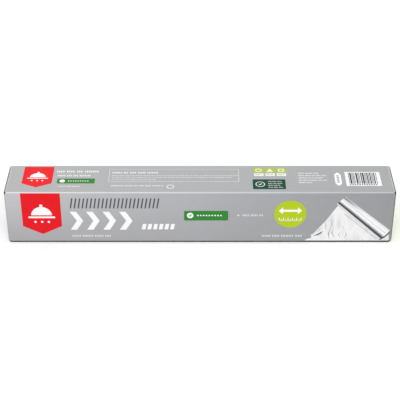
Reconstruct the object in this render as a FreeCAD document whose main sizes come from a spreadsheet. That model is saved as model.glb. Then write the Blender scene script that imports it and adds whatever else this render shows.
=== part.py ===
import FreeCAD, Part
import Sketcher
import os

# Sealed cutter carton for catering foil, lying on its base as it is sold.
# Origin at the middle of the base, X along the carton, front towards -Y, Z up, millimetres.

doc = FreeCAD.newDocument("foil_carton")
sheet = doc.addObject("Spreadsheet::Sheet", "dims")

# Driving dimensions, one cell of the sheet each
SIZES = {
    # Carton as a whole
    "roll_width": 450,  # width of the foil roll that the carton is made for
    "end_clearance": 5,  # from each end of the roll to the flap beside it
    "carton_depth": 60,  # outside depth, front flap to rear wall
    "carton_height": 72,  # outside height, base to lid
    "board": 0.5,  # thickness of the folding board
    "fold_radius": 1.1,  # outside radius of a fold
    "base_rounding": 3,  # radius at which the base turns up into the ends

    # Lid, with its front flap in front of the tray and its ears tucked inside the ends
    "ear_gap": 0.15,  # gap between the lid's ear and the end flap outside it
    "ear_gap_depth": 3,  # depth of that gap below the end flap's upper edge
    "flap_inset": 0.65,  # from the fold at the lid's end in to the end of the front flap
    "flap_step": 2,  # from the lid's face down to where the front flap steps in
    "flap_lift": 2.4,  # height of the front flap's lower edge above the base
    "flap_corner": 3.5,  # radius of the front flap's lower corners
    "relief_hole": 1.8,  # diameter of the relief hole punched where the lid's folds meet
    "relief_reach": 2.6,  # depth of the relief hole along its axis

    # End flap, folded round from the front wall and glued over the one from the rear wall
    "end_flap_drop": 0.8,  # from the lid's face down to the end flap's upper edge
    "end_flap_lift": 1,  # from the base's rounding up to the end flap's lower edge
    "end_flap_stop": 0.8,  # from the end flap's free edge to the face of the rear wall
    "end_flap_corner": 1.5,  # radius of the end flap's free corners

    # Perforation along the folds of the ears, which is broken to open the lid
    "slit_length": 2.4,  # length of one slit
    "slit_width": 0.5,  # width of one slit, in from the lid's end
    "slit_pitch": 4,  # distance from slit to slit
    "slit_margin": 3,  # from the front of the lid to the first slit, and at the rear at least as much

    # Serrated strip behind the front flap
    "blade_margin": 6.7,  # from each end of the flap to the end of the strip
    "blade_height": 9,  # height of the strip with its teeth
    "blade_thickness": 0.25,  # thickness of the strip
    "blade_lift": 0.3,  # height of the tooth tips above the base
    "blade_clearance": 0.1,  # gap between the strip and its recess in the front wall
    "tooth_pitch": 2,  # distance from tooth to tooth
    "tooth_depth": 1.3,  # depth of the gaps between teeth
}
for row, (name, number) in enumerate(SIZES.items(), 1):
    sheet.set(f"A{row}", name.replace("_", " "))
    sheet.set(f"B{row}", str(number))
    sheet.setAlias(f"B{row}", name)
doc.recompute()


def value(expression):
    """Gives the number that an expression on the sheet's sizes comes to."""
    found = sheet.evalExpression(expression)
    return getattr(found, "Value", found)


def origin_plane(body, role):
    """Finds one of a body's own origin planes."""
    return next(item for item in body.Origin.OriginFeatures if item.Role == role)


def add_polygon(sketch, corners):
    """Draws a closed outline whose corners are each bound to two expressions."""
    first = sketch.GeometryCount
    points = [FreeCAD.Vector(value(across), value(up), 0) for across, up in corners]
    for number, start in enumerate(points):
        end = points[(number + 1) % len(points)]
        sketch.addGeometry(Part.LineSegment(start, end), False)
    for number, (across, up) in enumerate(corners):
        line = first + number
        following = first + (number + 1) % len(corners)
        sketch.addConstraint(Sketcher.Constraint("Coincident", line, 2, following, 1))
        for kind, expression in (("DistanceX", across), ("DistanceY", up)):
            index = sketch.addConstraint(Sketcher.Constraint(kind, line, 1, value(expression)))
            sketch.setExpression(f"Constraints[{index}]", expression)


def polygon_sketch(body, name, role, corners):
    """Starts a sketch on one of the body's origin planes with a closed outline."""
    sketch = body.newObject("Sketcher::SketchObject", name)
    sketch.AttachmentSupport = [(origin_plane(body, role), "")]
    sketch.MapMode = "FlatFace"
    add_polygon(sketch, corners)
    return sketch


def rectangle(left, low, right, high):
    """Gives the four corners of an upright rectangle."""
    return [(left, low), (right, low), (right, high), (left, high)]


def midplane_pad(body, name, sketch, length):
    """Pads a section equally to both sides of its plane."""
    pad = body.newObject("PartDesign::Pad", name)
    pad.Profile = sketch
    pad.SideType = "Symmetric"
    pad.setExpression("Length", length)
    doc.recompute()
    return pad


def round_edges(body, name, feature, radius, test):
    """Rounds the straight edges of a feature whose middle point and direction pass the test."""
    picked = []
    for number, edge in enumerate(feature.Shape.Edges, 1):
        if edge.Curve.TypeId != "Part::GeomLine":
            continue
        middle = edge.valueAt((edge.FirstParameter + edge.LastParameter) / 2)
        if test(middle, edge.tangentAt(edge.FirstParameter)):
            picked.append(f"Edge{number}")
    rounded = body.newObject("PartDesign::Fillet", name)
    rounded.Base = (feature, picked)
    rounded.setExpression("Radius", radius)
    doc.recompute()
    return rounded


def near(first, second):
    """Says whether two lengths are the same."""
    return abs(first - second) < 1e-4


# Planes and lengths that more than one feature uses, as expressions on the sheet
FRONT = "-dims.carton_depth / 2"
REAR = "dims.carton_depth / 2"
FRONT_WALL = "-dims.carton_depth / 2 + dims.board"
TOP = "dims.carton_height"
SHOULDER = "dims.carton_height - dims.end_flap_drop"
TRAY_LENGTH = "(dims.roll_width + 2 * dims.end_clearance + 2 * dims.board)"
CARTON_LENGTH = "(dims.roll_width + 2 * dims.end_clearance + 4 * dims.board)"
HALF_LID = "(" + CARTON_LENGTH + " / 2 - dims.board - dims.ear_gap)"
HALF_FLAP = "(" + HALF_LID + " - dims.flap_inset)"
HALF_BLADE = "(" + HALF_FLAP + " - dims.blade_margin)"

# A fold can't be rounder than its board lets it
FOLD = "min(dims.fold_radius; 3 * dims.board)"


def make_tray():
    """Tray: front wall, bottom and rear wall, with the flaps of the rear wall folded over the ends."""
    body = doc.addObject("PartDesign::Body", "tray")
    section = polygon_sketch(body, "tray_section", "YZ_Plane", rectangle(FRONT_WALL, "0", REAR, SHOULDER))
    block = midplane_pad(body, "tray_block", section, TRAY_LENGTH)

    def turns_up(middle, along):
        return abs(along.y) > 0.9 and near(middle.z, 0)

    def is_fold(middle, along):
        return abs(along.x) > 0.9 and near(middle.z, 0)

    rounded = round_edges(body, "tray_ends", block, "dims.base_rounding", turns_up)
    round_edges(body, "tray_folds", rounded, FOLD, is_fold)
    return body


def make_end_flaps():
    """Outer end flaps, folded round from the front wall and cut off short of the rear wall."""
    body = doc.addObject("PartDesign::Body", "end_flaps")
    free_edge = REAR + " - dims.end_flap_stop"
    low = "dims.base_rounding + dims.end_flap_lift"
    corners = rectangle(FRONT_WALL, low, free_edge, SHOULDER)
    section = polygon_sketch(body, "end_flap_section", "YZ_Plane", corners)
    block = midplane_pad(body, "end_flap_block", section, CARTON_LENGTH)

    def is_free_corner(middle, along):
        return abs(along.x) > 0.9 and near(middle.y, value(free_edge))

    def is_fold(middle, along):
        return abs(along.z) > 0.9 and near(middle.y, value(FRONT_WALL))

    rounded = round_edges(body, "end_flap_corners", block, "dims.end_flap_corner", is_free_corner)
    round_edges(body, "end_flap_folds", rounded, FOLD, is_fold)
    return body


def make_lid():
    """Lid with its front flap, and the perforated folds of its ears."""
    body = doc.addObject("PartDesign::Body", "lid")
    ear_low = SHOULDER + " - dims.ear_gap_depth"
    step = TOP + " - dims.flap_step"
    corners = [
        (FRONT, step),
        (FRONT_WALL, step),
        (FRONT_WALL, ear_low),
        (REAR, ear_low),
        (REAR, TOP),
        (FRONT, TOP),
    ]
    section = polygon_sketch(body, "lid_section", "YZ_Plane", corners)
    midplane_pad(body, "lid_panel", section, "2 * " + HALF_LID)
    flap_corners = rectangle(FRONT, "dims.flap_lift", FRONT_WALL, step)
    section = polygon_sketch(body, "flap_section", "YZ_Plane", flap_corners)
    panel = midplane_pad(body, "front_flap", section, "2 * " + HALF_FLAP)

    def is_flap_corner(middle, along):
        return abs(along.y) > 0.9 and near(middle.z, value("dims.flap_lift"))

    def is_fold(middle, along):
        return abs(along.z) < 0.1 and near(middle.z, value(TOP))

    rounded = round_edges(body, "flap_corners", panel, "dims.flap_corner", is_flap_corner)
    round_edges(body, "lid_folds", rounded, FOLD, is_fold)

    # The first slit at each end, repeated towards the rear
    slit_front = FRONT + " + dims.slit_margin"
    slit_rear = slit_front + " + dims.slit_length"
    slit_inner = "(" + HALF_LID + " - dims.slit_width)"
    right_slit = rectangle(slit_inner, slit_front, HALF_LID, slit_rear)
    slits = polygon_sketch(body, "slit_outlines", "XY_Plane", right_slit)
    add_polygon(slits, rectangle("-" + HALF_LID, slit_front, "-" + slit_inner, slit_rear))
    slits.setExpression("AttachmentOffset.Base.z", TOP)
    pair = body.newObject("PartDesign::Pocket", "slit_pair")
    pair.Profile = slits
    pair.setExpression("Length", FOLD + " + dims.board")
    doc.recompute()
    row = body.newObject("PartDesign::LinearPattern", "perforation")
    row.Originals = [pair]
    row.Direction = (slits, ["V_Axis"])
    row.Mode = "Spacing"
    row.setExpression("Offset", "dims.slit_pitch")
    last_start = "dims.carton_depth - 2 * dims.slit_margin - dims.slit_length"
    row.setExpression("Occurrences", "floor((" + last_start + ") / dims.slit_pitch) + 1")
    body.Tip = row
    doc.recompute()
    return body


def box(name, corner, sizes):
    """Makes a box from its lowest corner and its three sizes, all expressions."""
    block = doc.addObject("Part::Box", name)
    for direction, at in zip("xyz", corner):
        block.setExpression("Placement.Base." + direction, at)
    for side, length in zip(("Length", "Width", "Height"), sizes):
        block.setExpression(side, length)
    return block


def make_cuts():
    """Relief holes in the lid's folds, gaps outside its ears, and the recess behind the strip."""
    cuts = []
    for side, sign in (("left", "-"), ("right", "")):
        hole = doc.addObject("Part::Cylinder", "relief_hole_" + side)
        hole.setExpression("Radius", "dims.relief_hole / 2")
        hole.setExpression("Height", "dims.relief_reach")
        hole.Placement.Rotation = FreeCAD.Rotation(FreeCAD.Vector(1, 0, 0), -135)
        hole.setExpression("Placement.Base.x", sign + HALF_FLAP)
        hole.setExpression("Placement.Base.y", FRONT)
        hole.setExpression("Placement.Base.z", TOP)
        cuts.append(hole)
    for side, start in (("left", "-" + HALF_LID + " - dims.ear_gap"), ("right", HALF_LID)):
        corner = (start, FRONT_WALL, SHOULDER + " - dims.ear_gap_depth")
        across = "dims.carton_depth - 2 * dims.board"
        sizes = ("dims.ear_gap", across, "dims.ear_gap_depth + dims.end_flap_drop")
        cuts.append(box("ear_gap_" + side, corner, sizes))
    clearance = "dims.blade_clearance"
    sizes = (
        "2 * (" + HALF_BLADE + " + " + clearance + ")",
        "dims.blade_thickness + " + clearance,
        "dims.blade_lift + dims.blade_height + " + clearance,
    )
    cuts.append(box("blade_recess", ("-" + HALF_BLADE + " - " + clearance, FRONT_WALL, "0"), sizes))
    together = doc.addObject("Part::MultiFuse", "cuts")
    together.Shapes = cuts
    return together


def make_carton():
    """Joins the folded panels, which are all one blank, and makes the cuts that cross them."""
    folded = doc.addObject("Part::MultiFuse", "folded_board")
    folded.Shapes = [make_tray(), make_end_flaps(), make_lid()]
    folded.Refine = True
    finished = doc.addObject("Part::Cut", "carton")
    finished.Label = "carton"
    finished.Base = folded
    finished.Tool = make_cuts()
    doc.recompute()
    return finished


def make_cutter_blade():
    """Cuts the strip: a flat steel band with a row of teeth along its lower edge."""
    body = doc.addObject("PartDesign::Body", "cutter_blade")
    body.Label = "cutter_blade"
    strip_corners = rectangle("-" + HALF_BLADE, "0", HALF_BLADE, "dims.blade_height")
    outline = polygon_sketch(body, "strip_outline", "XZ_Plane", strip_corners)
    strip = body.newObject("PartDesign::Pad", "strip")
    strip.Profile = outline
    strip.Reversed = True
    strip.setExpression("Length", "dims.blade_thickness")
    doc.recompute()

    # One gap between two teeth, repeated along the whole edge
    gap_corners = [
        ("-" + HALF_BLADE, "0"),
        ("-" + HALF_BLADE + " + dims.tooth_pitch", "0"),
        ("-" + HALF_BLADE + " + dims.tooth_pitch / 2", "dims.tooth_depth"),
    ]
    outline = polygon_sketch(body, "gap_outline", "XZ_Plane", gap_corners)
    gap = body.newObject("PartDesign::Pocket", "tooth_gap")
    gap.Profile = outline
    gap.Type = "ThroughAll"
    doc.recompute()
    teeth = body.newObject("PartDesign::LinearPattern", "teeth")
    teeth.Originals = [gap]
    teeth.Direction = (outline, ["H_Axis"])
    teeth.Mode = "Spacing"
    teeth.setExpression("Offset", "dims.tooth_pitch")
    teeth.setExpression("Occurrences", "floor(2 * " + HALF_BLADE + " / dims.tooth_pitch)")
    body.Tip = teeth
    doc.recompute()

    # The strip lies flat against the back of the flap
    body.setExpression("Placement.Base.y", FRONT_WALL)
    body.setExpression("Placement.Base.z", "dims.blade_lift")
    doc.recompute()
    return body


def check_and_write(parts):
    """Stops on any failed feature, then writes each sub-part to its own file."""
    for item in doc.Objects:
        if "Invalid" in item.State or "Error" in item.State:
            raise RuntimeError(f"{item.Name} failed: {item.State}")
    for part in parts:
        if part.Shape.isNull() or not part.Shape.isValid():
            raise RuntimeError(f"{part.Label} has no valid shape")
    os.makedirs("parts", exist_ok=True)
    for part in parts:
        box = part.Shape.BoundBox
        print(part.Label, len(part.Shape.Solids), "solid, volume", round(part.Shape.Volume, 1), "box", box)
        part.Shape.exportStep(f"parts/{part.Label}.step")


carton = make_carton()
cutter_blade = make_cutter_blade()
doc.recompute()
check_and_write([carton, cutter_blade])
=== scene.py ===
import math
import random
from types import SimpleNamespace

import bmesh
import bpy
from mathutils import Matrix, Vector


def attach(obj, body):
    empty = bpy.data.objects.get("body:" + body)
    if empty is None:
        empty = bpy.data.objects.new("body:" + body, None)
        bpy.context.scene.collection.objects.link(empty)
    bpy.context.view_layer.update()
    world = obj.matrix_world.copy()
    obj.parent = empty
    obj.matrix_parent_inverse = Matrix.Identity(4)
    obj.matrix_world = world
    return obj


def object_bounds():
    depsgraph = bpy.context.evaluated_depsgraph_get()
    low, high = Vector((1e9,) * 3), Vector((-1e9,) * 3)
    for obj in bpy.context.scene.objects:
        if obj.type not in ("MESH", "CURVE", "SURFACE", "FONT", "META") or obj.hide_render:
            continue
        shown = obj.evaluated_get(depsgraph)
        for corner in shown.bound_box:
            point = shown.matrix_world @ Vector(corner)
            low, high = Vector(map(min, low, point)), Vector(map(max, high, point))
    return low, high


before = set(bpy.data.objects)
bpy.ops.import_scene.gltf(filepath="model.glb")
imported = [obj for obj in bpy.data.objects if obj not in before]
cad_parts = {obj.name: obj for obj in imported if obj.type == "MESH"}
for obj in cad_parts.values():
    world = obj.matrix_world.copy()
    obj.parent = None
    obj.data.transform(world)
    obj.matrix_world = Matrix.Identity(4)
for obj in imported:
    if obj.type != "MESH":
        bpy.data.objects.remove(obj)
cad_low, cad_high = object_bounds()

# The sealed carton lies on its base along X, front towards -Y. Sizes and places are in millimetres.
MM = 0.001
END = cad_high.x / MM
FRONT = cad_low.y / MM
REAR = cad_high.y / MM
TOP = cad_high.z / MM

# Sizes of the folded board that the inks follow
BOARD = 0.5  # thickness of the board
FOLD = 1.1  # outside radius of a fold
EAR_GAP = 0.15  # gap between the lid's ear and the end flap outside it
EAR_GAP_DEPTH = 3.0  # depth of that gap below the end flap's upper edge
END_FLAP_DROP = 0.8  # from the lid's face down to the end flap's upper edge
FLAP_INSET = 0.65  # from the end of the lid in to the end of the front flap
FLAP_LIFT = 2.4  # height of the front flap's lower edge above the base
HOLE_RADIUS = 0.9  # radius of the relief holes where the lid's folds meet
LID_END = END - BOARD - EAR_GAP
FLAP_END = LID_END - FLAP_INSET
SHOULDER = TOP - END_FLAP_DROP

# Perforation along the ends of the lid
SLIT_LENGTH = 2.4  # length of one slit
SLIT_WIDTH = 0.5  # width of one slit, in from the lid's end
SLIT_PITCH = 4.0  # distance from slit to slit
SLIT_MARGIN = 3.0  # from the front of the lid to the first slit, and at the rear at least as much
SLIT_COUNT = math.floor((REAR - FRONT - 2 * SLIT_MARGIN - SLIT_LENGTH) / SLIT_PITCH) + 1

# Height at which the lime field on the right end starts and ends
FIELD_LOW = 4.6
FIELD_HIGH = 61.4

# Thickness of one layer of ink, and how far its back lies in the board
INK = 0.03
ROOT_DEPTH = 0.05

# How finely round shapes are cut up: corners, circles and small dots
CORNER_SEGMENTS = 4
ROUND_SEGMENTS = 64
DOT_SEGMENTS = 16

# The pictured roll on the front: its middle, turn and length, half its width at each end, and how far
# the near end bulges
ROLL_MIDDLE = (194.0, 36.2)
ROLL_ANGLE = math.radians(-42.0)
ROLL_LENGTH = 74.0
ROLL_HALF = ROLL_LENGTH / 2
ROLL_FAR = 7.3
ROLL_NEAR = 9.3
ROLL_BULGE = 2.4
ROLL_END_STEPS = 14

# Camera, which looks at a point on the middle of the front
CAMERA_DISTANCE = 1.4  # metres from that point
CAMERA_ELEVATION = 33.5  # degrees above level
TARGET_HEIGHT = 61.5  # height of that point above the base
SENSOR_WIDTH = 36
IMAGE_PIXELS = 400  # width of the picture
FRONT_PIXELS = 391.5  # width of the front in the picture, at the height of that point

# Floor: metres from its middle to each side
FLOOR_REACH = 4.0

# Light: the level that the surroundings give, and each lamp with the direction that its light comes
# from, its strength and how many degrees it is across
AMBIENT = 0.58
LAMPS = (
    ("key", (0, -0.72, 0.69), 1.68, 50),
    ("left_fill", (-0.9, -0.25, 0.4), 0.35, 60),
    ("right_fill", (0.9, -0.25, 0.4), 0.35, 60),
)


def colour(red, green, blue):
    """Turns a colour written as 0 to 255 on screen into the linear values that shaders take."""
    linear = []
    for part in (red / 255, green / 255, blue / 255):
        linear.append(part / 12.92 if part <= 0.04045 else ((part + 0.055) / 1.055) ** 2.4)
    return (*linear, 1.0)


# Inks
WHITE = colour(250, 250, 250)
RED = colour(230, 26, 35)
LID_RED = colour(240, 34, 42)
GREEN = colour(52, 132, 54)
DEEP_GREEN = colour(8, 72, 52)
LIME = colour(182, 204, 32)
SLATE = colour(84, 86, 91)
PALE_GREY = colour(224, 226, 228)
PICTURE_GREY = colour(146, 146, 149)
BAR_BLACK = colour(52, 52, 54)

# Board: its rear and bottom, and its ends with the lime field, the right end darker as painted shade
PLAIN_GREY = colour(180, 181, 183)
LEFT_END_GREY = colour(183, 184, 186)
RIGHT_END_SHADED_GREY = colour(168, 169, 171)
END_LIME = colour(170, 190, 56)
# Painted shade on the ends where they turn round from the front
LEFT_TURN_SHADE = colour(176, 177, 179)
RIGHT_TURN_SHADE = colour(112, 112, 112)
TURN_LIME_SHADE = colour(98, 103, 74)

# Board: painted highlights along its folds and the ends of the lid, and painted shade where those ends turn
# down
REAR_FOLD_HIGHLIGHT = colour(204, 205, 206)
LID_END_HIGHLIGHT = colour(206, 206, 207)
LID_END_TURN_SHADE = colour(158, 158, 159)

# Painted shade round the slits, where raw board also shows, in the ear gaps, under the front flap and in the
# relief holes
SLIT_EDGE_AND_SHADE = colour(62, 62, 63)
EAR_GAP_SHADE = colour(52, 50, 48)
FLAP_SHADOW = colour(20, 20, 20)
HOLE_SHADE = colour(10, 10, 10)

# Shaded side of the pictured roll
ROLL_SHADE = colour(146, 147, 150)

# Dark and light streaks of the steel strip, both darkened as painted shade for the shadow under the front
# flap
SHADED_STEEL_DARK = colour(30, 30, 30)
SHADED_STEEL_LIGHT = colour(58, 58, 57)


# Shader helpers

def start_material(name):
    """Makes a node material and gives it with its nodes and its shader."""
    material = bpy.data.materials.new(name)
    material.use_nodes = True
    return material, material.node_tree, material.node_tree.nodes["Principled BSDF"]


def feed(tree, given, socket):
    """Links an output to a socket, or sets the socket to a plain number or colour."""
    if isinstance(given, bpy.types.NodeSocket):
        tree.links.new(given, socket)
    else:
        socket.default_value = given


def maths(tree, operation, *inputs):
    """One Math node."""
    node = tree.nodes.new("ShaderNodeMath")
    node.operation = operation
    for number, given in enumerate(inputs):
        feed(tree, given, node.inputs[number])
    return node.outputs[0]


def rise(tree, value, start, end, low=0.0, high=1.0):
    """Goes smoothly from low to high while the value goes from start to end."""
    node = tree.nodes.new("ShaderNodeMapRange")
    node.interpolation_type = "SMOOTHSTEP"
    feed(tree, value, node.inputs["Value"])
    feed(tree, start, node.inputs["From Min"])
    feed(tree, end, node.inputs["From Max"])
    feed(tree, low, node.inputs["To Min"])
    feed(tree, high, node.inputs["To Max"])
    return node.outputs["Result"]


def both(tree, *masks):
    """Gives 1 where all the masks are 1."""
    result = masks[0]
    for mask in masks[1:]:
        result = maths(tree, "MULTIPLY", result, mask)
    return result


def blend(tree, factor, first, second):
    """Goes from the first colour to the second with the factor."""
    node = tree.nodes.new("ShaderNodeMix")
    node.data_type = "RGBA"
    feed(tree, factor, node.inputs["Factor"])
    feed(tree, first, node.inputs["A"])
    feed(tree, second, node.inputs["B"])
    return node.outputs["Result"]


def ramp(tree, value, stops):
    """Colours at places along a value from 0 to 1."""
    node = tree.nodes.new("ShaderNodeValToRGB")
    elements = node.color_ramp.elements
    while len(elements) < len(stops):
        elements.new(1.0)
    for element, (place, shade) in zip(elements, stops):
        element.position = place
        element.color = shade
    tree.links.new(value, node.inputs["Fac"])
    return node.outputs["Color"]


def place_in_mm(tree):
    """Gives the place on the surface in millimetres."""
    coordinates = tree.nodes.new("ShaderNodeTexCoord")
    scale = tree.nodes.new("ShaderNodeVectorMath")
    scale.operation = "SCALE"
    scale.inputs["Scale"].default_value = 1 / MM
    tree.links.new(coordinates.outputs["Object"], scale.inputs[0])
    return scale.outputs[0]


def split(tree, place):
    """Gives the X, Y and Z of a place."""
    node = tree.nodes.new("ShaderNodeSeparateXYZ")
    tree.links.new(place, node.inputs[0])
    return node.outputs["X"], node.outputs["Y"], node.outputs["Z"]


def stretched(tree, place, scale):
    """Scales X, Y and Z of a place, so that a pattern on it is drawn out where the scale is small."""
    node = tree.nodes.new("ShaderNodeMapping")
    node.inputs["Scale"].default_value = scale
    tree.links.new(place, node.inputs["Vector"])
    return node.outputs["Vector"]


def noise(tree, place, scale, detail):
    """Soft noise at a number of lumps per millimetre."""
    node = tree.nodes.new("ShaderNodeTexNoise")
    tree.links.new(place, node.inputs["Vector"])
    node.inputs["Scale"].default_value = scale
    node.inputs["Detail"].default_value = detail
    return node.outputs["Fac"]


def add_bump(tree, shader, height, strength, distance):
    """Raises the surface of a shader with a height from 0 to 1."""
    bump = tree.nodes.new("ShaderNodeBump")
    bump.inputs["Strength"].default_value = strength
    bump.inputs["Distance"].default_value = distance * MM
    tree.links.new(height, bump.inputs["Height"])
    tree.links.new(bump.outputs["Normal"], shader.inputs["Normal"])


def board_surface(tree, shader, place):
    """Gives a shader the fibre of the board under a satin varnish."""
    fibre = noise(tree, place, scale=2.2, detail=4.0)
    waves = noise(tree, place, scale=0.035, detail=1.0)
    fine_height = maths(tree, "MULTIPLY", fibre, 0.012)
    broad_height = maths(tree, "MULTIPLY", waves, 0.25)
    add_bump(tree, shader, maths(tree, "ADD", fine_height, broad_height), strength=0.35, distance=1.0)
    tree.links.new(rise(tree, fibre, 0.3, 0.7, low=0.42, high=0.5), shader.inputs["Roughness"])
    shader.inputs["Coat Weight"].default_value = 0.05
    shader.inputs["Coat Roughness"].default_value = 0.3
    shader.inputs["Specular IOR Level"].default_value = 0.1


def mottled(tree, place, shade, amount=0.035):
    """Takes a shade a little up and down, as ink lies on board."""
    patches = maths(tree, "MULTIPLY", noise(tree, place, scale=0.12, detail=2.0), 0.5)
    grain = maths(tree, "MULTIPLY", noise(tree, place, scale=1.6, detail=2.0), 0.5)
    mixed = maths(tree, "ADD", patches, grain)
    node = tree.nodes.new("ShaderNodeHueSaturation")
    tree.links.new(rise(tree, mixed, 0.3, 0.7, low=1 - amount, high=1 + amount), node.inputs["Value"])
    feed(tree, shade, node.inputs["Color"])
    return node.outputs["Color"]


# Colours of the board, with painted light and shade. Each function gets the places on the carton that
# carton_places gives.

def carton_places(tree, place):
    """Gives the measures on the carton that its shades follow."""
    x, y, z = split(tree, place)
    outwards = maths(tree, "ABSOLUTE", x)
    return SimpleNamespace(
        x=x,
        y=y,
        z=z,
        outwards=outwards,  # from the carton's middle towards its nearer end
        along=maths(tree, "DIVIDE", maths(tree, "ADD", x, END), 2 * END),  # 0 at the left, 1 at the right
        behind=maths(tree, "SUBTRACT", y, FRONT),  # from the front towards the rear
        from_end=maths(tree, "SUBTRACT", LID_END, outwards),  # from the lid's nearer end inwards
        on_lid=rise(tree, z, SHOULDER - 0.2, SHOULDER),  # 1 on the lid and its folds
    )


def front_painted_shading(tree, at):
    """Painted light and shade on the front: lighter at the upper left, darker towards the right and down."""
    upper = ramp(tree, at.along, [
        (0.0, colour(196, 195, 198)),
        (0.16, colour(186, 188, 190)),
        (0.5, colour(175, 177, 180)),
        (0.8, colour(161, 162, 165)),
        (1.0, colour(152, 153, 156)),
    ])
    lower = ramp(tree, at.along, [
        (0.0, colour(172, 172, 175)),
        (0.5, colour(169, 169, 172)),
        (0.8, colour(160, 160, 162)),
        (1.0, colour(154, 154, 156)),
    ])
    return blend(tree, rise(tree, at.z, FLAP_LIFT, TOP), lower, upper)


def lid_painted_shading(tree, at):
    """Painted shade on the lid: nearly even, a little darker towards the right."""
    return ramp(tree, at.along, [
        (0.0, colour(183, 183, 183)),
        (0.5, colour(178, 179, 181)),
        (1.0, colour(171, 172, 174)),
    ])


def ends_with_painted_shade(tree, at):
    """Ends: grey, the right one darker as painted shade and with a lime field, and painted shade where they
    turn round from the front.
    """
    to_right = rise(tree, at.x, -1, 1)
    field = both(
        tree,
        rise(tree, at.x, END - 4, END - 2),
        rise(tree, at.z, FIELD_HIGH + 0.2, FIELD_HIGH - 0.2),
        rise(tree, at.z, FIELD_LOW - 0.2, FIELD_LOW + 0.2),
    )
    flat = blend(tree, to_right, LEFT_END_GREY, RIGHT_END_SHADED_GREY)
    flat = blend(tree, field, flat, END_LIME)
    # Painted shade where the ends turn round from the front, darkest on the right
    turn = blend(tree, to_right, LEFT_TURN_SHADE, RIGHT_TURN_SHADE)
    turn = blend(tree, field, turn, TURN_LIME_SHADE)
    return blend(tree, rise(tree, at.behind, 2.0, 1.0), flat, turn)


def panel_colours_and_painted_shade(tree, at):
    """Puts the panels' colours together, with the light and shade painted into them."""
    on_end = rise(tree, at.outwards, FLAP_END - 0.1, FLAP_END)
    on_front = both(
        tree,
        rise(tree, at.behind, FOLD * 0.6, FOLD * 0.4),
        rise(tree, at.outwards, FLAP_END + 0.1, FLAP_END + 0.02),
    )
    shade = blend(tree, on_end, PLAIN_GREY, ends_with_painted_shade(tree, at))
    shade = blend(tree, at.on_lid, shade, lid_painted_shading(tree, at))
    return blend(tree, on_front, shade, front_painted_shading(tree, at))


def folds_painted_light(tree, at, shade):
    """Painted highlights on the folds, strongest along the front of the lid and fading to the right, and
    painted shade where the lid's ends turn down.
    """
    front_fold_highlight = ramp(tree, at.along, [
        (0.0, colour(214, 214, 215)),
        (0.5, colour(200, 202, 204)),
        (1.0, colour(180, 182, 183)),
    ])
    near_top = rise(tree, at.z, TOP - FOLD * 1.25, TOP - FOLD)
    near_front = rise(tree, at.behind, FOLD * 1.25, FOLD)
    near_rear = rise(tree, at.y, REAR - FOLD * 0.9, REAR - FOLD * 0.5)
    end_highlight = rise(tree, at.from_end, 2.2, 1.4)
    # Painted shade where the lid's ends turn down
    turned = rise(tree, at.from_end, FOLD * 0.9, FOLD * 0.6)
    shade = blend(tree, both(tree, near_front, near_top), shade, front_fold_highlight)
    shade = blend(tree, both(tree, near_rear, near_top), shade, REAR_FOLD_HIGHLIGHT)
    shade = blend(tree, both(tree, end_highlight, at.on_lid), shade, LID_END_HIGHLIGHT)
    return blend(tree, both(tree, turned, at.on_lid), shade, LID_END_TURN_SHADE)


def at_slits(tree, at):
    """Gives 1 round each slit of the perforation, where the raw board shows and painted shade darkens it."""
    pitches = maths(tree, "DIVIDE", maths(tree, "SUBTRACT", at.behind, SLIT_MARGIN), SLIT_PITCH)
    slit_share = SLIT_LENGTH / SLIT_PITCH
    return both(
        tree,
        rise(tree, maths(tree, "FRACT", pitches), slit_share + 0.03, slit_share),
        rise(tree, pitches, -0.01, 0.0),
        rise(tree, pitches, SLIT_COUNT + 0.01, SLIT_COUNT),
        rise(tree, at.from_end, SLIT_WIDTH + 0.4, SLIT_WIDTH + 0.3),
        rise(tree, at.z, TOP - FOLD - 0.3, TOP - FOLD - 0.2),
    )


def in_ear_gaps(tree, at):
    """Gives 1 in the gaps between the lid's ears and the end flaps, which are painted dark as shade."""
    gap_low = SHOULDER - EAR_GAP_DEPTH
    return both(
        tree,
        rise(tree, at.from_end, BOARD + 0.05, BOARD),
        rise(tree, at.from_end, -EAR_GAP - 0.02, -EAR_GAP),
        rise(tree, at.z, SHOULDER - 0.15, SHOULDER - 0.25),
        rise(tree, at.z, gap_low - 0.2, gap_low - 0.1),
        rise(tree, at.behind, BOARD * 0.9, BOARD),
    )


def under_flap(tree, at):
    """Gives 1 in the shadow under the front flap."""
    return both(
        tree,
        rise(tree, at.z, FLAP_LIFT + 0.1, FLAP_LIFT - 0.1),
        rise(tree, at.behind, 1.4, 1.2),
    )


def in_relief_holes(tree, at):
    """Gives 1 in the relief holes, which run in at 45 degrees from where the lid's folds meet, painted
    near-black as the shade inside them.
    """
    below_lid = maths(tree, "SUBTRACT", at.z, TOP)
    across = maths(tree, "DIVIDE", maths(tree, "ADD", at.behind, below_lid), math.sqrt(2))
    beside = maths(tree, "SUBTRACT", at.outwards, FLAP_END)
    squares = maths(tree, "ADD", maths(tree, "POWER", across, 2), maths(tree, "POWER", beside, 2))
    from_axis = maths(tree, "SQRT", squares)
    return both(
        tree,
        rise(tree, from_axis, HOLE_RADIUS + 0.24, HOLE_RADIUS + 0.14),
        rise(tree, at.behind, 3.0, 2.8),
    )


# Materials

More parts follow.
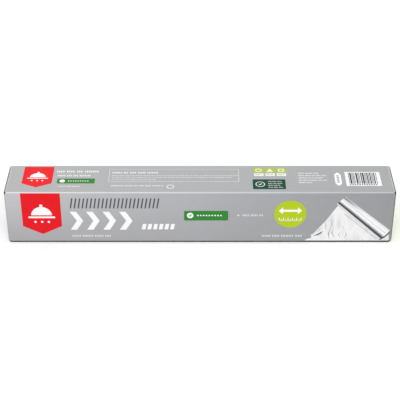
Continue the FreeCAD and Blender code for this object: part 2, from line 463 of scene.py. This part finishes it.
def printed_board():
    """Silver-grey ink over the whole carton, with painted light and shade: lighter towards the upper left,
    highlights on the folds, and shade in the gaps, slits, holes and under the front flap.
    """
    material, tree, shader = start_material("silver_grey_board")
    place = place_in_mm(tree)
    at = carton_places(tree, place)
    # Panel colours and fold highlights, with light and shade painted in
    shade = panel_colours_and_painted_shade(tree, at)
    shade = folds_painted_light(tree, at, shade)
    # Raw board round the slits, darkened with painted shade
    shade = blend(tree, at_slits(tree, at), shade, SLIT_EDGE_AND_SHADE)
    shade = mottled(tree, place, shade, amount=0.02)
    # Painted shade in the gaps beside the lid's ears
    shade = blend(tree, in_ear_gaps(tree, at), shade, EAR_GAP_SHADE)
    # Painted shadow under the front flap
    shade = blend(tree, under_flap(tree, at), shade, FLAP_SHADOW)
    # Painted shade inside the relief holes
    shade = blend(tree, in_relief_holes(tree, at), shade, HOLE_SHADE)
    tree.links.new(shade, shader.inputs["Base Color"])
    board_surface(tree, shader, place)
    return material


def blade_steel():
    """Rolled steel strip with fine streaks along it, its colour darkened as painted shade under the front
    flap.
    """
    material, tree, shader = start_material("shaded_rolled_steel")
    drawn_out = stretched(tree, place_in_mm(tree), (0.05, 1.0, 6.0))
    streaks = noise(tree, drawn_out, scale=1.0, detail=3.0)
    tree.links.new(blend(tree, streaks, SHADED_STEEL_DARK, SHADED_STEEL_LIGHT), shader.inputs["Base Color"])
    tree.links.new(rise(tree, streaks, 0.3, 0.7, low=0.34, high=0.46), shader.inputs["Roughness"])
    shader.inputs["Metallic"].default_value = 1.0
    add_bump(tree, shader, streaks, strength=0.2, distance=0.02)
    return material


def printed_ink(name, shade):
    """One printing ink on the board."""
    material, tree, shader = start_material(name)
    place = place_in_mm(tree)
    tree.links.new(mottled(tree, place, shade), shader.inputs["Base Color"])
    board_surface(tree, shader, place)
    return material


def place_on_roll(tree, place):
    """Gives the distance along the pictured roll from its middle, and 0 to 1 across it, from below."""
    centre = tree.nodes.new("ShaderNodeMapping")
    centre.vector_type = "TEXTURE"
    centre.inputs["Location"].default_value = (ROLL_MIDDLE[0], 0, ROLL_MIDDLE[1])
    centre.inputs["Rotation"].default_value = (0, -ROLL_ANGLE, 0)
    tree.links.new(place, centre.inputs["Vector"])
    along, _, up = split(tree, centre.outputs["Vector"])
    growth = maths(tree, "MULTIPLY", along, 2 * (ROLL_NEAR - ROLL_FAR) / ROLL_LENGTH)
    width = maths(tree, "ADD", growth, ROLL_NEAR + ROLL_FAR)
    return along, maths(tree, "ADD", maths(tree, "DIVIDE", up, width), 0.5)


def roll_picture_ink():
    """The pictured roll: bands along it, as polished foil mirrors a studio, and shade at its far end."""
    material, tree, shader = start_material("pictured_roll_ink")
    place = place_in_mm(tree)
    along, across = place_on_roll(tree, place)
    unevenness = maths(tree, "SUBTRACT", noise(tree, place, scale=0.09, detail=2.0), 0.5)
    wander = maths(tree, "MULTIPLY", unevenness, 0.06)
    bands = ramp(tree, maths(tree, "ADD", across, wander), [
        (0.0, colour(140, 141, 144)),
        (0.04, colour(236, 236, 237)),
        (0.11, colour(222, 222, 224)),
        (0.17, colour(78, 79, 82)),
        (0.26, colour(70, 71, 74)),
        (0.33, colour(142, 143, 146)),
        (0.40, colour(206, 207, 209)),
        (0.47, colour(244, 244, 245)),
        (0.57, colour(252, 252, 252)),
        (0.63, colour(206, 207, 210)),
        (0.68, colour(246, 246, 247)),
        (0.88, colour(240, 240, 241)),
        (0.95, colour(222, 223, 225)),
        (1.0, colour(206, 207, 210)),
    ])
    far_upper_side = both(
        tree,
        rise(tree, along, -4, -34),
        rise(tree, across, 0.66, 0.84),
        rise(tree, across, 0.98, 0.93),
    )
    bands = blend(tree, far_upper_side, bands, ROLL_SHADE)
    tree.links.new(mottled(tree, place, bands), shader.inputs["Base Color"])
    board_surface(tree, shader, place)
    return material


def sheet_picture_ink():
    """The pictured sheet: pale foil with the small facets that it takes when unrolled."""
    material, tree, shader = start_material("pictured_sheet_ink")
    place = place_in_mm(tree)
    upright = stretched(tree, place, (1.0, 1.0, 0.4))
    soft = maths(tree, "MULTIPLY", noise(tree, upright, scale=0.09, detail=2.0), 0.8)
    facets = tree.nodes.new("ShaderNodeTexVoronoi")
    facets.feature = "SMOOTH_F1"
    facets.inputs["Scale"].default_value = 0.09
    facets.inputs["Smoothness"].default_value = 0.4
    tree.links.new(upright, facets.inputs["Vector"])
    faceted = maths(tree, "MULTIPLY", facets.outputs["Distance"], 0.4)
    shade = ramp(tree, maths(tree, "ADD", soft, faceted), [
        (0.30, colour(214, 214, 216)),
        (0.48, colour(232, 232, 233)),
        (0.60, colour(242, 242, 242)),
        (0.78, colour(224, 224, 226)),
    ])
    tree.links.new(shade, shader.inputs["Base Color"])
    board_surface(tree, shader, place)
    return material


def mix_inks():
    """Makes all the printing inks."""
    return {
        "white": printed_ink("white_ink", WHITE),
        "red": printed_ink("red_ink", RED),
        "lid_red": printed_ink("lid_red_ink", LID_RED),
        "green": printed_ink("green_ink", GREEN),
        "deep_green": printed_ink("deep_green_ink", DEEP_GREEN),
        "lime": printed_ink("lime_ink", LIME),
        "slate": printed_ink("slate_ink", SLATE),
        "pale": printed_ink("pale_grey_ink", PALE_GREY),
        "silver": printed_ink("picture_grey_ink", PICTURE_GREY),
        "black": printed_ink("bar_ink", BAR_BLACK),
        "roll": roll_picture_ink(),
        "sheet": sheet_picture_ink(),
    }


# Flat shapes, drawn in a plane with u across and v up

def polygon(flat, corners, rounding=0.0):
    """Adds one shape that faces outwards from its corners, and may round them."""
    verts = [flat.verts.new((u, v, 0)) for u, v in corners]
    face = flat.faces.new(verts)
    face.normal_update()
    if face.normal.z < 0:
        face.normal_flip()
    if rounding:
        bmesh.ops.bevel(
            flat, geom=verts, offset=rounding, segments=CORNER_SEGMENTS, profile=0.5,
            affect="VERTICES", clamp_overlap=True, material=-1,
        )


def block(flat, left, low, right, high, lean=0.0, rounding=0.0):
    """Adds an upright or leaning rectangle."""
    polygon(flat, [(left, low), (right, low), (right + lean, high), (left + lean, high)], rounding)


def disc(flat, u, v, radius, segments=ROUND_SEGMENTS):
    """Adds a filled circle."""
    place = Matrix.Translation((u, v, 0))
    bmesh.ops.create_circle(flat, cap_ends=True, radius=radius, segments=segments, matrix=place)


def dome(flat, u, v, radius, foot):
    """Starts a drawing with a filled circle that is cut off level at its foot."""
    disc(flat, u, v, radius)
    geometry = list(flat.faces) + list(flat.edges) + list(flat.verts)
    bmesh.ops.bisect_plane(
        flat, geom=geometry, plane_co=(0, foot, 0), plane_no=(0, -1, 0), clear_outer=True,
    )


def open_middle(flat, known, width):
    """Opens the shape that isn't among the known ones, and leaves a rim."""
    face = next(face for face in flat.faces if face not in known)
    flat.normal_update()
    bmesh.ops.inset_region(flat, faces=[face], use_boundary=True, thickness=width, use_even_offset=True)
    bmesh.ops.delete(flat, geom=[face], context="FACES")


def ring(flat, u, v, radius, width):
    """Adds a circle with an open middle."""
    known = set(flat.faces)
    disc(flat, u, v, radius)
    open_middle(flat, known, width)


def frame_line(flat, left, low, right, high, width):
    """Adds a thin rectangular line."""
    known = set(flat.faces)
    block(flat, left, low, right, high)
    open_middle(flat, known, width)


def pennant(flat, left, right, point, shoulder, top):
    """Adds a hanging banner whose lower end comes to a point."""
    middle = (left + right) / 2
    polygon(flat, [(left, shoulder), (middle, point), (right, shoulder), (right, top), (left, top)])


def fine_row(flat, left, right, low, high, seed):
    """Adds a row of like upright marks in groups of uneven length."""
    draws = random.Random(seed)
    height = high - low
    mark, step = height * 0.36, height * 0.66
    at = left
    while at < right - mark:
        for number in range(draws.randint(3, 8)):
            if at < right - mark:
                block(flat, at, low, at + mark, high)
            at += step
        at += step * 0.8


def fine_rows(flat, left, rights, lows, height, seed):
    """Adds rows of fine marks, given the right end and the lower edge of each."""
    for number, (right, low) in enumerate(zip(rights, lows)):
        fine_row(flat, left, right, low, low + height, seed + number)


def dotted_row(flat, left, right, v, radius, count):
    """Adds a row of dots, set evenly from left to right."""
    pitch = (right - left - 2 * radius) / (count - 1)
    for number in range(count):
        disc(flat, left + radius + number * pitch, v, radius, DOT_SEGMENTS)


def measuring_scale(flat, left, right, low, high, count):
    """Adds a ruled line with long and short marks standing on it."""
    line, mark = 0.8, 0.9
    short = (low + high) / 2 + 0.3
    pitch = (right - left - mark) / (count - 1)
    block(flat, left, low, right, low + line)
    for number in range(count):
        at = left + number * pitch
        block(flat, at, low, at + mark, high if number % 2 == 0 else short)


def tick(flat, u, v, size):
    """Adds a tick mark centred on a point."""
    outline = [(-0.50, 0.02), (-0.32, 0.20), (-0.12, 0.00), (0.34, 0.46), (0.52, 0.28), (-0.12, -0.36)]
    polygon(flat, [(u + size * a, v + size * b) for a, b in outline])


def chevron(flat, left, low, high, arm):
    """Adds a bold angle that points right."""
    middle = (low + high) / 2
    reach = (high - low) / 2 * 0.62
    polygon(flat, [
        (left, low), (left + arm, low), (left + arm + reach, middle),
        (left + arm, high), (left, high), (left + reach, middle),
    ], rounding=0.5)


def double_arrow(flat, left, right, v, head, shaft):
    """Adds an arrow that points both ways along a length."""
    polygon(flat, [
        (left, v), (left + head, v - head), (left + head, v - shaft), (right - head, v - shaft),
        (right - head, v - head), (right, v), (right - head, v + head), (right - head, v + shaft),
        (left + head, v + shaft), (left + head, v + head),
    ])


# Print on the front: u runs along the carton from its middle, v up from the base

FRONT_BANNER_LEFT = -211.9
FRONT_BANNER_RIGHT = -165.1
FRONT_LABEL_DISC = (-11.7, 39.4)


def front_banner(flat):
    """A pennant that hangs from the fold."""
    pennant(flat, FRONT_BANNER_LEFT, FRONT_BANNER_RIGHT, point=12.5, shoulder=24, top=TOP - FOLD)


def front_banner_emblem(flat):
    """A serving dome with its knob, its plate and three dots."""
    middle = (FRONT_BANNER_LEFT + FRONT_BANNER_RIGHT) / 2
    dome(flat, middle, v=39, radius=12.5, foot=39.8)
    disc(flat, middle, 53.2, radius=1.9)
    block(flat, left=middle - 16, low=35.6, right=middle + 16, high=38.0, rounding=1.0)
    dotted_row(flat, left=middle - 9.5, right=middle + 9.5, v=30.2, radius=1.5, count=3)


def front_heading(flat):
    """A row of slanting strokes."""
    first, pitch, stroke, strokes = -154.5, 4.66, 1.7, 23
    for number in range(strokes):
        left = first + number * pitch
        block(flat, left, low=49.6, right=left + stroke, high=63.8, lean=2.4)


def front_title(flat):
    """Four bold chevrons."""
    first, pitch, chevrons = -155, 19.6, 4
    for number in range(chevrons):
        chevron(flat, first + number * pitch, low=18.8, high=44.8, arm=7.6)


def front_subtitle(flat):
    """A row of leaning blocks."""
    first, pitch, width, blocks = -69.9, 6.8, 4.4, 6
    for number in range(blocks):
        left = first + number * pitch
        block(flat, left, low=19.3, right=left + width, high=27.1, lean=1.6, rounding=0.3)


def front_small_lines(flat):
    """Two rows of fine marks near the base, and one with a dot before it."""
    fine_row(flat, left=-153.5, right=-106, low=8.4, high=11.2, seed=11)
    fine_row(flat, left=74.5, right=123.5, low=8.4, high=11.2, seed=12)
    disc(flat, 45.6, 39.6, radius=1.3)
    fine_row(flat, left=50.5, right=76.2, low=38.4, high=41.0, seed=13)


def front_label(flat):
    """A plain field with rounded corners."""
    block(flat, left=-19, low=32.2, right=33.6, high=46, rounding=1.4)


def front_label_marks(flat):
    """A disc and a row of dots on the label."""
    u, v = FRONT_LABEL_DISC
    disc(flat, u, v, radius=3.9)
    dotted_row(flat, left=-3.6, right=26.0, v=v, radius=1.05, count=9)


def front_label_tick(flat):
    """The tick on the label's disc."""
    u, v = FRONT_LABEL_DISC
    tick(flat, u, v - 0.2, size=4.4)


def front_disc(flat):
    """A large disc."""
    disc(flat, 107.4, 41.2, radius=19.2)


def front_disc_marks(flat):
    """A double arrow over a measuring scale."""
    double_arrow(flat, left=93.6, right=121.2, v=46.2, head=5.0, shaft=1.5)
    measuring_scale(flat, left=94.0, right=121.0, low=31.4, high=36.0, count=11)


# The picture on the front: a roll of foil with its sheet drawn out

PICTURE_LOW = 3.1


def on_roll(along, across):
    """Gives a point of the picture from its place along and across the roll."""
    cosine, sine = math.cos(ROLL_ANGLE), math.sin(ROLL_ANGLE)
    return (
        ROLL_MIDDLE[0] + along * cosine - across * sine,
        ROLL_MIDDLE[1] + along * sine + across * cosine,
    )


def near_arc(bulge):
    """Gives points on the rounded near end of the roll, from its lower to its upper side."""
    points = []
    for number in range(ROLL_END_STEPS + 1):
        turn = math.pi * (number / ROLL_END_STEPS - 0.5)
        points.append(on_roll(ROLL_HALF + bulge * math.cos(turn), ROLL_NEAR * math.sin(turn)))
    return points


def picture_sheet(flat):
    """The sheet from under the roll down to the edge of the flap, and its corner past the roll's end."""
    start = 3 - ROLL_HALF
    polygon(flat, [
        on_roll(start, 1 - ROLL_FAR), on_roll(start, -ROLL_FAR - 2), (149.8, 31.4), (136.0, 12.8),
        (133.4, 11.9), (133.9, 6.6), (129.6, 5.6), (126.2, 3.6), (126.4, PICTURE_LOW),
        (219.0, PICTURE_LOW), on_roll(ROLL_HALF, 1 - ROLL_NEAR),
    ])
    polygon(flat, [
        (218.5, PICTURE_LOW), (226.8, PICTURE_LOW), (227.8, 5.6), (226.4, 13.8), (221.0, 12.5), (214.0, 5.0),
    ])


def picture_creases(flat):
    """Slim creases in the sheet, each with its start, bend and end, and half its width at the bend."""
    creases = (
        ((157.2, 36.0), (157.8, 28.0), (156.2, 20.0), 0.4),
        ((156.4, 22.0), (154.4, 13.0), (155.8, 4.2), 0.55),
        ((138.0, 14.6), (142.2, 17.6), (147.6, 24.6), 0.35),
        ((160.4, 21.5), (158.6, 13.5), (163.0, 6.0), 0.5),
        ((165.0, 22.6), (170.5, 24.2), (174.4, 17.0), 0.3),
        ((174.4, 17.6), (175.8, 11.5), (173.2, 5.0), 0.4),
        ((149.4, 30.6), (151.0, 24.5), (149.6, 17.6), 0.35),
        ((168.6, 17.0), (166.6, 11.0), (169.0, 6.4), 0.3),
    )
    for start, (u, v), end, width in creases:
        polygon(flat, [start, (u + width, v), end, (u - width, v)])


def picture_roll_line(flat):
    """The thin line on the sheet along the roll."""
    start, end = 16 - ROLL_HALF, ROLL_HALF - 2
    polygon(flat, [
        on_roll(start, -ROLL_FAR - 3.6), on_roll(end, -ROLL_NEAR - 1.6),
        on_roll(end, -ROLL_NEAR - 1.0), on_roll(start, -ROLL_FAR - 3.1),
    ])


def picture_roll(flat):
    """The roll itself."""
    polygon(flat, [on_roll(-ROLL_HALF, ROLL_FAR), on_roll(-ROLL_HALF, -ROLL_FAR)] + near_arc(ROLL_BULGE))


def picture_roll_end(flat):
    """The dark rim round the near end of the roll."""
    outer, inner = near_arc(ROLL_BULGE + 0.9), near_arc(ROLL_BULGE - 0.7)
    polygon(flat, outer + inner[-2:0:-1])


def picture_fold(flat):
    """The dark fold where the sheet's corner curls up."""
    polygon(flat, [(136.2, 9.6), (141.4, 10.6), (145.4, 13.2), (147.8, 17.0), (144.2, 14.4), (140.8, 12.2)])


# Print on the lid: u runs along the carton from its middle, v from its middle towards the rear

LID_BANNER_LEFT = -212.5
LID_BANNER_RIGHT = -176.5

SQUARE_LEFTS = (65.0, 78.6, 92.2)
SQUARE_SIZE = 11.4
SQUARE_HIGH = 25

CODE_LEFT = 174.1
CODE_RIGHT = 216.1
CODE_LOW = -15.5
CODE_HIGH = 15.5


def lid_banner(flat):
    """A pennant like the one on the front."""
    pennant(flat, LID_BANNER_LEFT, LID_BANNER_RIGHT, point=-18.7, shoulder=-10, top=27.1)


def lid_banner_emblem(flat):
    """The serving dome again."""
    middle = (LID_BANNER_LEFT + LID_BANNER_RIGHT) / 2
    dome(flat, middle, v=3.0, radius=9.6, foot=3.6)
    disc(flat, middle, 14.0, radius=1.5)
    block(flat, left=middle - 12.5, low=0.4, right=middle + 12.5, high=2.2, rounding=0.8)
    dotted_row(flat, left=middle - 7.5, right=middle + 7.5, v=-4.0, radius=1.2, count=3)


def lid_lines(flat):
    """Rows of bold marks beside the banner, and one in the box."""
    fine_row(flat, left=-172.5, right=-118.3, low=14.4, high=18.2, seed=22)
    fine_row(flat, left=-170.9, right=-129.5, low=5.6, high=8.6, seed=23)
    fine_row(flat, left=-167.7, right=-142.2, low=-17.3, high=-15.7, seed=24)
    fine_row(flat, left=-105.5, right=-50.2, low=12.2, high=15.2, seed=25)


def lid_box_lines(flat):
    """A long thin box and three rows of fine marks in it."""
    frame_line(flat, left=-109.4, low=-6.6, right=46.6, high=22.1, width=0.6)
    fine_rows(flat, left=-105.5, rights=(45.9, 39.6, -51.8), lows=(6.4, 2.0, -2.6), height=1.7, seed=30)


def lid_fine_lines(flat):
    """A row of fine marks under the box with a ring after it, and five rows left of the tag."""
    fine_row(flat, left=-105.4, right=-42.7, low=-16.4, high=-14.5, seed=33)
    fine_rows(
        flat, left=118.1, rights=(143.0, 152.4, 147.5, 152.0, 134.0),
        lows=(11.6, 6.4, 1.2, -4.0, -9.2), height=1.9, seed=40,
    )
    ring(flat, -35.2, -17.3, radius=4.4, width=0.9)


def lid_label(flat):
    """A plain field with rounded corners."""
    block(flat, left=-170.5, low=-10.2, right=-125.5, high=0.6, rounding=1.0)


def lid_label_marks(flat):
    """A disc and a row of dots on the label."""
    middle = -4.8
    disc(flat, -164.4, middle, radius=3.3)
    dotted_row(flat, left=-157.5, right=-133.0, v=middle, radius=0.95, count=9)


def lid_squares(flat):
    """Three squares in a row."""
    for left in SQUARE_LEFTS:
        low, right = SQUARE_HIGH - SQUARE_SIZE, left + SQUARE_SIZE
        block(flat, left, low, right, SQUARE_HIGH, rounding=0.6)


def lid_square_marks(flat):
    """A ring, a triangle and a frame on the squares, and a field under each."""
    first, second, third = (left + SQUARE_SIZE / 2 for left in SQUARE_LEFTS)
    middle = SQUARE_HIGH - SQUARE_SIZE / 2
    base, half_base, half_frame = middle - 3.2, 3.8, 3.3
    ring(flat, first, middle, radius=3.8, width=1.1)
    polygon(flat, [(second - half_base, base), (second + half_base, base), (second, middle + 3.6)])
    frame_line(
        flat, left=third - half_frame, low=middle - half_frame,
        right=third + half_frame, high=middle + half_frame, width=1.1,
    )
    for left in SQUARE_LEFTS:
        block(flat, left, low=6.6, right=left + SQUARE_SIZE, high=12.2, rounding=0.4)


def lid_square_captions(flat):
    """A row of fine marks on each field under the squares."""
    margin = 1.4
    for number, left in enumerate(SQUARE_LEFTS):
        right = left + SQUARE_SIZE - margin
        fine_row(flat, left + margin, right, low=8.6, high=10.2, seed=50 + number)


def lid_deep_label(flat):
    """A larger field with rounded corners."""
    block(flat, left=62.7, low=-22.6, right=101.8, high=-1.2, rounding=1.2)


def lid_deep_label_marks(flat):
    """A ring with a tick in it, and four rows of fine marks."""
    u, v = 71.6, -11.9
    ring(flat, u, v, radius=5.6, width=0.9)
    tick(flat, u, v - 0.3, size=4.4)
    fine_rows(
        flat, left=81.0, rights=(97.5, 98.6, 95.0, 98.0),
        lows=(-6.4, -10.7, -15.0, -19.3), height=1.4, seed=60,
    )


def lid_tag(flat):
    """A tag that is pointed at both ends."""
    left, middle, right = 161.2, 165.1, 169.0
    front_point, low, high, rear_point = -15.5, -10.5, 9.5, 14.5
    polygon(flat, [
        (left, low), (middle, front_point), (right, low), (right, high), (middle, rear_point), (left, high),
    ], rounding=0.6)


def lid_tag_marks(flat):
    """Five marks across the tag."""
    first, pitch, height, marks = -8.5, 3.5, 2.2, 5
    for number in range(marks):
        low = first + number * pitch
        block(flat, left=163.8, low=low, right=166.4, high=low + height, rounding=0.3)


def lid_code_panel(flat):
    """The field for the bars."""
    block(flat, CODE_LEFT, CODE_LOW, CODE_RIGHT, CODE_HIGH)


def lid_code_bars(flat):
    """Bars of random widths, and a row of short marks under them."""
    draws = random.Random(70)
    first, last = CODE_LEFT + 4.0, CODE_RIGHT - 5.0
    pitch, mark, marks = 2.8, 1.6, 12
    at = first
    while at < last:
        width = draws.choice((0.7, 0.7, 1.3, 1.9))
        block(flat, left=at, low=CODE_LOW + 4.6, right=at + width, high=CODE_HIGH - 1.8)
        at += width + draws.choice((0.7, 0.7, 1.2))
    for number in range(marks):
        left = first + number * pitch
        block(flat, left, low=CODE_LOW + 1.4, right=left + mark, high=CODE_LOW + 3.6, rounding=0.3)


# What is printed on each face: how it is drawn, in which layer of ink it lies, and its ink

FRONT_PRINT = (
    (front_banner, 1, "red"),
    (front_banner_emblem, 2, "white"),
    (front_heading, 1, "slate"),
    (front_title, 1, "white"),
    (front_subtitle, 1, "white"),
    (front_small_lines, 1, "pale"),
    (front_label, 1, "green"),
    (front_label_marks, 2, "white"),
    (front_label_tick, 3, "green"),
    (front_disc, 1, "lime"),
    (front_disc_marks, 2, "white"),
    (picture_sheet, 1, "sheet"),
    (picture_creases, 2, "silver"),
    (picture_roll_line, 2, "silver"),
    (picture_roll, 3, "roll"),
    (picture_roll_end, 4, "black"),
    (picture_fold, 3, "slate"),
)
LID_PRINT = (
    (lid_banner, 1, "lid_red"),
    (lid_banner_emblem, 2, "white"),
    (lid_lines, 1, "white"),
    (lid_box_lines, 1, "pale"),
    (lid_fine_lines, 1, "white"),
    (lid_label, 1, "green"),
    (lid_label_marks, 2, "white"),
    (lid_squares, 1, "lime"),
    (lid_square_marks, 2, "white"),
    (lid_square_captions, 3, "slate"),
    (lid_deep_label, 1, "deep_green"),
    (lid_deep_label_marks, 2, "white"),
    (lid_tag, 1, "white"),
    (lid_tag_marks, 2, "silver"),
    (lid_code_panel, 1, "white"),
    (lid_code_bars, 2, "black"),
)


def panel(u_axis, v_axis, origin):
    """Makes the matrix that takes a flat drawing to one face of the carton."""
    out = Vector(u_axis).cross(Vector(v_axis))
    turned = Matrix((u_axis, v_axis, out)).transposed().to_4x4()
    return Matrix.Translation(Vector(origin)) @ turned


FRONT_PANEL = panel(u_axis=(1, 0, 0), v_axis=(0, 0, 1), origin=(0, FRONT, 0))
LID_PANEL = panel(u_axis=(1, 0, 0), v_axis=(0, 1, 0), origin=(0, 0, TOP))


def printed_piece(name, face, layer, material, draw):
    """Makes one printed piece: draws it flat, gives it thickness and lays it on its face of the carton."""
    flat = bmesh.new()
    draw(flat)
    flat.normal_update()
    bmesh.ops.solidify(flat, geom=list(flat.faces), thickness=layer * INK + ROOT_DEPTH)
    top = max(vert.co.z for vert in flat.verts)
    bmesh.ops.translate(flat, verts=flat.verts, vec=(0, 0, layer * INK - top))
    bmesh.ops.transform(flat, matrix=Matrix.Scale(MM, 4) @ face, verts=flat.verts)
    bmesh.ops.recalc_face_normals(flat, faces=flat.faces)
    mesh = bpy.data.meshes.new(name)
    flat.to_mesh(mesh)
    flat.free()
    mesh.materials.append(material)
    piece = bpy.data.objects.new(name, mesh)
    bpy.context.scene.collection.objects.link(piece)
    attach(piece, "root")


def print_face(face, pieces, inks):
    """Prints one face of the carton. Each piece is named after the function that draws it."""
    for draw, layer, ink in pieces:
        printed_piece(draw.__name__, face, layer, inks[ink], draw)


# Light, floor and camera

def seen_directly(tree):
    """Gives 1 for rays from the camera, from a mirror or through glass, and 0 for the rest."""
    path = tree.nodes.new("ShaderNodeLightPath")
    mirrored = maths(tree, "MAXIMUM", path.outputs["Is Camera Ray"], path.outputs["Is Glossy Ray"])
    return maths(tree, "MAXIMUM", mirrored, path.outputs["Is Transmission Ray"])


def light_world():
    """White all round: full white where it is seen, and a lower level where it lights the carton."""
    world = bpy.data.worlds.new("studio")
    bpy.context.scene.world = world
    world.use_nodes = True
    tree = world.node_tree
    background = tree.nodes["Background"]
    background.inputs["Color"].default_value = (1, 1, 1, 1)
    strength = rise(tree, seen_directly(tree), 0, 1, low=AMBIENT, high=1.0)
    tree.links.new(strength, background.inputs["Strength"])


def add_sun(name, direction, strength, spread):
    """Adds a soft far lamp that shines from a direction."""
    lamp = bpy.data.lights.new(name, "SUN")
    lamp.energy = strength
    lamp.angle = math.radians(spread)
    holder = bpy.data.objects.new(name, lamp)
    holder.rotation_euler = Vector(direction).to_track_quat("Z", "Y").to_euler()
    bpy.context.scene.collection.objects.link(holder)


def white_floor():
    """A floor that looks white, keeps the carton's soft shadow, and lights it as a grey floor does."""
    material, tree, shader = start_material("white_floor")
    shader.inputs["Base Color"].default_value = (0.5, 0.5, 0.5, 1)
    shader.inputs["Roughness"].default_value = 0.8
    seen = tree.nodes.new("ShaderNodeBsdfDiffuse")
    seen.inputs["Color"].default_value = (1, 1, 1, 1)
    glow = tree.nodes.new("ShaderNodeEmission")
    glow.inputs["Strength"].default_value = 0.05
    together = tree.nodes.new("ShaderNodeAddShader")
    tree.links.new(seen.outputs[0], together.inputs[0])
    tree.links.new(glow.outputs[0], together.inputs[1])
    choice = tree.nodes.new("ShaderNodeMixShader")
    tree.links.new(seen_directly(tree), choice.inputs["Fac"])
    tree.links.new(shader.outputs[0], choice.inputs[1])
    tree.links.new(together.outputs[0], choice.inputs[2])
    tree.links.new(choice.outputs[0], tree.nodes["Material Output"].inputs["Surface"])
    return material


def lay_floor():
    """Lays the floor under the carton."""
    flat = bmesh.new()
    bmesh.ops.create_grid(flat, x_segments=1, y_segments=1, size=FLOOR_REACH)
    mesh = bpy.data.meshes.new("floor")
    flat.to_mesh(mesh)
    flat.free()
    mesh.materials.append(white_floor())
    floor = bpy.data.objects.new("floor", mesh)
    bpy.context.scene.collection.objects.link(floor)


def set_camera():
    """Stands the camera in front of and above the carton, with a lens that gives the front its width."""
    camera = bpy.data.cameras.new("camera")
    camera.sensor_width = SENSOR_WIDTH
    camera.lens = SENSOR_WIDTH * CAMERA_DISTANCE * FRONT_PIXELS / (IMAGE_PIXELS * 2 * END * MM)
    camera.clip_start = 0.05
    holder = bpy.data.objects.new("camera", camera)
    lift = math.radians(CAMERA_ELEVATION)
    away = Vector((0, -math.cos(lift), math.sin(lift)))
    holder.location = Vector((0, FRONT, TARGET_HEIGHT)) * MM + away * CAMERA_DISTANCE
    holder.rotation_euler = away.to_track_quat("Z", "Y").to_euler()
    bpy.context.scene.collection.objects.link(holder)
    bpy.context.scene.camera = holder


set_camera()
lay_floor()
light_world()
for name, direction, strength, spread in LAMPS:
    add_sun(name, direction, strength, spread)
bpy.context.scene.view_settings.view_transform = "Standard"

for node, material in (("carton", printed_board()), ("cutter_blade", blade_steel())):
    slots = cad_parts[node].data.materials
    slots.clear()
    slots.append(material)

inks = mix_inks()
print_face(FRONT_PANEL, FRONT_PRINT, inks)
print_face(LID_PANEL, LID_PRINT, inks)
